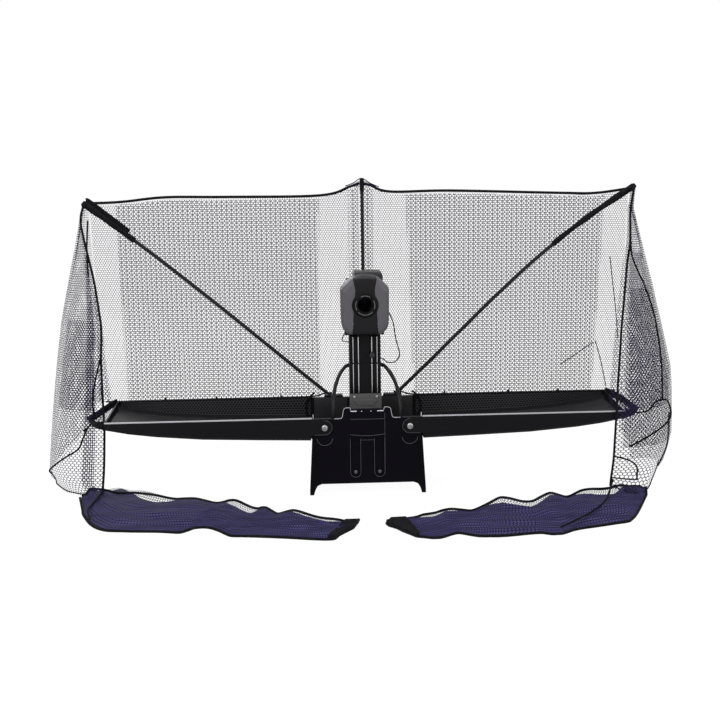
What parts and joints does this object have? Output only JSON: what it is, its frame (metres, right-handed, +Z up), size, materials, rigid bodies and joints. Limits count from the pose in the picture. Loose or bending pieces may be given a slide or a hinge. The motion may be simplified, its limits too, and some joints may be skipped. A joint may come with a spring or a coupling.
{
  "type": "table tennis robot with catch net",
  "caption": "Ball-throwing table tennis robot on a footed base, with a turning and tilting head, fold-up ball troughs, and a large catch net on poles with side nets.",
  "frame": {"origin": "On the floor, under the middle of the whole footprint (nets and floor flaps included).", "axes": "+Z up; -Y is the front, where the nozzle throws and the user stands; +X is toward the right-hand trough seen from the front."},
  "size_m": [1.8654, 0.66, 0.885],
  "materials": {
    "front_panel": "satin black moulded plastic",
    "hopper_tub": "satin black moulded plastic",
    "feed_motor": "dark grey plastic",
    "tower_lower": "satin black moulded plastic",
    "tower_core": "dark grey plastic",
    "cover_plate": "grey moulded plastic",
    "mast": "black painted tube",
    "mast_socket": "satin black moulded plastic",
    "rail_lower_left": "satin aluminium",
    "rail_lower_right": "satin aluminium",
    "cover_bolt_left": "bright steel",
    "cover_bolt_right": "bright steel",
    "guard_rod_left": "black painted tube",
    "guard_rod_right": "black painted tube",
    "pivot_bolt_left": "bright steel",
    "pivot_bolt_right": "bright steel",
    "pole_left": "black painted tube",
    "pole_right": "black painted tube",
    "pole_bracket_left": "satin black moulded plastic",
    "pole_bracket_right": "satin black moulded plastic",
    "pole_pocket_left": "black woven webbing",
    "pole_pocket_right": "black woven webbing",
    "back_net_left": "blue-black knotless net",
    "back_net_right": "blue-black knotless net",
    "loose_net_left": "blue-black knotless net",
    "loose_net_right": "blue-black knotless net",
    "top_binding_left": "black woven webbing",
    "top_binding_right": "black woven webbing",
    "net_hem_left": "black woven webbing",
    "net_hem_right": "black woven webbing",
    "end_strap_left": "black woven webbing",
    "end_strap_right": "black woven webbing",
    "side_net_left": "blue-black knotless net",
    "side_net_right": "blue-black knotless net",
    "floor_flap_left": "blue-black knotless net",
    "floor_flap_right": "blue-black knotless net",
    "trough_left": "satin black moulded plastic",
    "lip_left": "grey moulded plastic",
    "trough_right": "satin black moulded plastic",
    "lip_right": "grey moulded plastic",
    "tower_upper": "satin black moulded plastic",
    "rail_upper_left": "satin aluminium",
    "rail_upper_right": "satin aluminium",
    "head_cable": "black flexible sheath",
    "short_lead": "black flexible sheath",
    "height_knob": "satin black moulded plastic",
    "yoke": "dark grey plastic",
    "head_body": "satin black moulded plastic",
    "head_shell_left": "grey moulded plastic",
    "head_shell_right": "grey moulded plastic",
    "face_stripe": "satin black moulded plastic",
    "nozzle_ring": "grey moulded plastic",
    "top_box": "dark grey plastic",
    "wheel_motor_left": "bright steel",
    "wheel_motor_right": "bright steel",
    "tilt_pin_left": "bright steel",
    "tilt_pin_right": "bright steel",
    "throw_wheel_left": "soft dark rubber tread",
    "throw_wheel_right": "soft dark rubber tread",
    "feed_disc": "grey moulded plastic"
  },
  "bodies": {
    "base": {"front_panel": "front_panel", "hopper_tub": "hopper_tub", "feed_motor": "feed_motor", "tower_lower": "tower_lower", "tower_core": "tower_core", "cover_plate": "cover_plate", "mast": "mast", "mast_socket": "mast_socket", "rail_lower_left": "rail_lower_left", "rail_lower_right": "rail_lower_right", "cover_bolt_left": "cover_bolt_left", "cover_bolt_right": "cover_bolt_right", "guard_rod_left": "guard_rod_left", "guard_rod_right": "guard_rod_right", "pivot_bolt_left": "pivot_bolt_left", "pivot_bolt_right": "pivot_bolt_right", "pole_left": "pole_left", "pole_right": "pole_right", "pole_bracket_left": "pole_bracket_left", "pole_bracket_right": "pole_bracket_right", "pole_pocket_left": "pole_pocket_left", "pole_pocket_right": "pole_pocket_right", "back_net_left": "back_net_left", "back_net_right": "back_net_right", "loose_net_left": "loose_net_left", "loose_net_right": "loose_net_right", "top_binding_left": "top_binding_left", "top_binding_right": "top_binding_right", "net_hem_left": "net_hem_left", "net_hem_right": "net_hem_right", "end_strap_left": "end_strap_left", "end_strap_right": "end_strap_right", "side_net_left": "side_net_left", "side_net_right": "side_net_right", "floor_flap_left": "floor_flap_left", "floor_flap_right": "floor_flap_right"},
    "wing_left": {"trough_left": "trough_left", "lip_left": "lip_left"},
    "wing_right": {"trough_right": "trough_right", "lip_right": "lip_right"},
    "carriage": {"tower_upper": "tower_upper", "rail_upper_left": "rail_upper_left", "rail_upper_right": "rail_upper_right", "head_cable": "head_cable", "short_lead": "short_lead"},
    "knob": {"height_knob": "height_knob"},
    "fork": {"yoke": "yoke"},
    "head": {"head_body": "head_body", "head_shell_left": "head_shell_left", "head_shell_right": "head_shell_right", "face_stripe": "face_stripe", "nozzle_ring": "nozzle_ring", "top_box": "top_box", "wheel_motor_left": "wheel_motor_left", "wheel_motor_right": "wheel_motor_right", "tilt_pin_left": "tilt_pin_left", "tilt_pin_right": "tilt_pin_right"},
    "wheel_left": {"throw_wheel_left": "throw_wheel_left"},
    "wheel_right": {"throw_wheel_right": "throw_wheel_right"},
    "disc": {"feed_disc": "feed_disc"}
  },
  "joints": [
    {"name": "wing_left_fold", "type": "hinge", "parent": "base", "child": "wing_left", "pos_m": [-0.1215, 0.1684, 0.201], "axis": [0, 1, 0], "range_deg": [0, 88]},
    {"name": "wing_right_fold", "type": "hinge", "parent": "base", "child": "wing_right", "pos_m": [0.1215, 0.1684, 0.201], "axis": [0, -1, 0], "range_deg": [0, 88]},
    {"name": "head_height", "type": "slide", "parent": "base", "child": "carriage", "axis": [0, 0, 1], "range_m": [0, 0.04]},
    {"name": "height_knob_turn", "type": "hinge", "parent": "carriage", "child": "knob", "pos_m": [0.0197, 0.1318, 0.392], "axis": [0, 1, 0], "continuous": true},
    {"name": "head_pan", "type": "hinge", "parent": "carriage", "child": "fork", "pos_m": [0, 0.1664, 0.4467], "axis": [0, 0, 1], "range_deg": [-30, 30], "deforming": ["head_cable", "short_lead"]},
    {"name": "head_tilt", "type": "hinge", "parent": "fork", "child": "head", "pos_m": [0, 0.1664, 0.535], "axis": [1, 0, 0], "range_deg": [-22, 6]},
    {"name": "throw_wheel_left_spin", "type": "hinge", "parent": "head", "child": "wheel_left", "pos_m": [-0.0397, 0.1224, 0.5436], "axis": [0, 0, 1], "continuous": true},
    {"name": "throw_wheel_right_spin", "type": "hinge", "parent": "head", "child": "wheel_right", "pos_m": [0.0397, 0.1224, 0.5436], "axis": [0, 0, 1], "continuous": true},
    {"name": "feed_disc_spin", "type": "hinge", "parent": "base", "child": "disc", "pos_m": [0, 0.2134, 0.1185], "axis": [0, 0, 1], "continuous": true}
  ]
}
